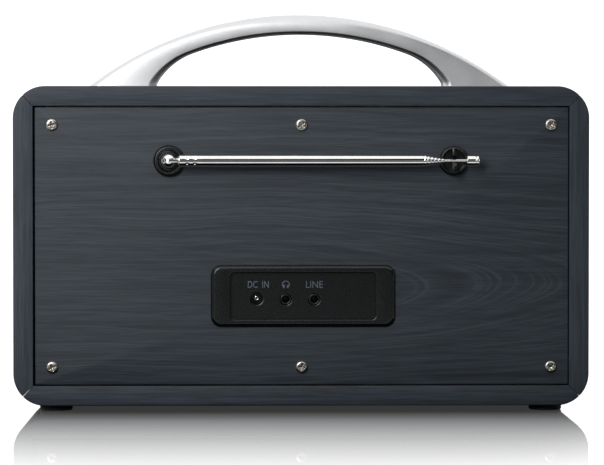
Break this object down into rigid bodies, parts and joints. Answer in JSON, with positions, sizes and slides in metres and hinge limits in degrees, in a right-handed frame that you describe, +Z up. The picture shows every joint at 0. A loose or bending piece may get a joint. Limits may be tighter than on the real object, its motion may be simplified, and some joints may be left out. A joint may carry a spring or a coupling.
{
  "type": "tabletop radio",
  "caption": "Portable tabletop radio: dark wooden cabinet, arched metal carrying handle, telescopic antenna and sockets on the back, cloth grilles, display, keys and knobs on the front.",
  "frame": {"origin": "centre of the cabinet's footprint, on the surface the feet stand on", "axes": "+X to the right seen from the front, +Y towards the back with the antenna, +Z up"},
  "size_m": [0.28, 0.1295, 0.195],
  "materials": {
    "cabinet_wood": "dark stained, satin, open grain",
    "panel_wood": "dark stained, satin, open grain",
    "plain_wood": "unfinished",
    "handle_metal": "cast, satin",
    "screw_steel": "plated",
    "chrome": "polished",
    "black_plastic": "satin moulded",
    "button_plastic": "satin",
    "knob_plastic": "satin",
    "window": "smoked, polished",
    "rubber": "matt",
    "grille_cloth": "woven",
    "circuit_board": "lacquered",
    "component_black": "moulded",
    "cell_can": "sleeved",
    "basket_steel": "painted",
    "magnet": "ferrite and plated steel",
    "cone_paper": "pulp",
    "lead_sleeve": "extruded"
  },
  "bodies": {
    "cabinet": {"cabinet_top": "cabinet_wood", "cabinet_bottom": "cabinet_wood", "cabinet_left": "cabinet_wood", "cabinet_right": "cabinet_wood", "rubber_feet": "rubber", "carry_handle": "handle_metal", "handle_screws": "screw_steel", "rear_panel": "panel_wood", "rear_cleats": "plain_wood", "rear_panel_screws": "screw_steel", "connection_plate": "black_plastic", "dc_socket": "black_plastic", "headphone_socket": "black_plastic", "aux_socket": "black_plastic", "main_board": "circuit_board", "board_components": "component_black", "battery_pack": "cell_can", "antenna_bushing": "black_plastic", "antenna_clip": "black_plastic", "front_baffle": "plain_wood", "grille_frames": "plain_wood", "grille_cloth_left": "grille_cloth", "grille_cloth_right": "grille_cloth", "left_speaker_frame": "basket_steel", "left_speaker_magnet": "magnet", "left_surround": "rubber", "right_speaker_frame": "basket_steel", "right_speaker_magnet": "magnet", "right_surround": "rubber", "control_panel": "black_plastic", "display_window": "window", "display_module": "component_black", "control_board": "circuit_board", "key_switches": "component_black", "encoder_housings": "screw_steel", "internal_screws": "screw_steel", "internal_leads": "lead_sleeve"},
    "antenna_swivel": {"antenna_stud": "chrome", "antenna_hinge_pin": "chrome", "antenna_nut": "screw_steel"},
    "antenna_mast": {"antenna_knuckle": "chrome", "antenna_tube": "chrome"},
    "antenna_stage_1": {"antenna_section_1": "chrome"},
    "antenna_stage_2": {"antenna_section_2": "chrome"},
    "antenna_stage_3": {"antenna_section_3": "chrome"},
    "antenna_stage_4": {"antenna_section_4": "chrome"},
    "antenna_stage_5": {"antenna_section_5": "chrome"},
    "antenna_whip": {"antenna_rod": "chrome", "antenna_tip": "chrome"},
    "volume_control": {"volume_shaft": "screw_steel", "volume_knob": "knob_plastic"},
    "tuning_press": {"tuning_plunger": "screw_steel"},
    "tuning_control": {"tuning_shaft": "screw_steel", "tuning_knob": "knob_plastic"},
    "power_key": {"power_button": "button_plastic"},
    "mode_key": {"mode_button": "button_plastic"},
    "menu_key": {"menu_button": "button_plastic"},
    "preset_key": {"preset_button": "button_plastic"},
    "left_diaphragm": {"left_cone": "cone_paper"},
    "right_diaphragm": {"right_cone": "cone_paper"}
  },
  "joints": [
    {"name": "antenna_turn", "type": "hinge", "parent": "cabinet", "child": "antenna_swivel", "pos_m": [0.0643, 0.0612, 0.1221], "axis": [0, 1, 0], "continuous": true},
    {"name": "antenna_tilt", "type": "hinge", "parent": "antenna_swivel", "child": "antenna_mast", "pos_m": [0.0643, 0.0612, 0.1221], "axis": [0, 0, -1], "range_deg": [0, 90], "deforming": ["antenna_clip"]},
    {"name": "antenna_draw_1", "type": "slide", "parent": "antenna_mast", "child": "antenna_stage_1", "axis": [-1, 0, 0], "range_m": [0, 0.096]},
    {"name": "antenna_draw_2", "type": "slide", "parent": "antenna_stage_1", "child": "antenna_stage_2", "axis": [-1, 0, 0], "range_m": [0, 0.096]},
    {"name": "antenna_draw_3", "type": "slide", "parent": "antenna_stage_2", "child": "antenna_stage_3", "axis": [-1, 0, 0], "range_m": [0, 0.096]},
    {"name": "antenna_draw_4", "type": "slide", "parent": "antenna_stage_3", "child": "antenna_stage_4", "axis": [-1, 0, 0], "range_m": [0, 0.096]},
    {"name": "antenna_draw_5", "type": "slide", "parent": "antenna_stage_4", "child": "antenna_stage_5", "axis": [-1, 0, 0], "range_m": [0, 0.096]},
    {"name": "antenna_draw_6", "type": "slide", "parent": "antenna_stage_5", "child": "antenna_whip", "axis": [-1, 0, 0], "range_m": [0, 0.096]},
    {"name": "volume_turn", "type": "hinge", "parent": "cabinet", "child": "volume_control", "pos_m": [0, -0.055, 0.03], "axis": [0, 1, 0], "continuous": true},
    {"name": "tuning_push", "type": "slide", "parent": "cabinet", "child": "tuning_press", "axis": [0, 1, 0], "range_m": [0, 0.0005], "stiffness_N_per_m": 6000},
    {"name": "tuning_turn", "type": "hinge", "parent": "tuning_press", "child": "tuning_control", "pos_m": [0, -0.055, 0.068], "axis": [0, 1, 0], "continuous": true},
    {"name": "power_push", "type": "slide", "parent": "cabinet", "child": "power_key", "axis": [0, 1, 0], "range_m": [0, 0.0005], "stiffness_N_per_m": 3000},
    {"name": "mode_push", "type": "slide", "parent": "cabinet", "child": "mode_key", "axis": [0, 1, 0], "range_m": [0, 0.0005], "stiffness_N_per_m": 3000},
    {"name": "menu_push", "type": "slide", "parent": "cabinet", "child": "menu_key", "axis": [0, 1, 0], "range_m": [0, 0.0005], "stiffness_N_per_m": 3000},
    {"name": "preset_push", "type": "slide", "parent": "cabinet", "child": "preset_key", "axis": [0, 1, 0], "range_m": [0, 0.0005], "stiffness_N_per_m": 3000},
    {"name": "left_cone_stroke", "type": "slide", "parent": "cabinet", "child": "left_diaphragm", "axis": [0, 1, 0], "range_m": [-0.0008, 0.0008], "stiffness_N_per_m": 1200, "deforming": ["left_surround"]},
    {"name": "right_cone_stroke", "type": "slide", "parent": "cabinet", "child": "right_diaphragm", "axis": [0, 1, 0], "range_m": [-0.0008, 0.0008], "stiffness_N_per_m": 1200, "deforming": ["right_surround"]}
  ]
}
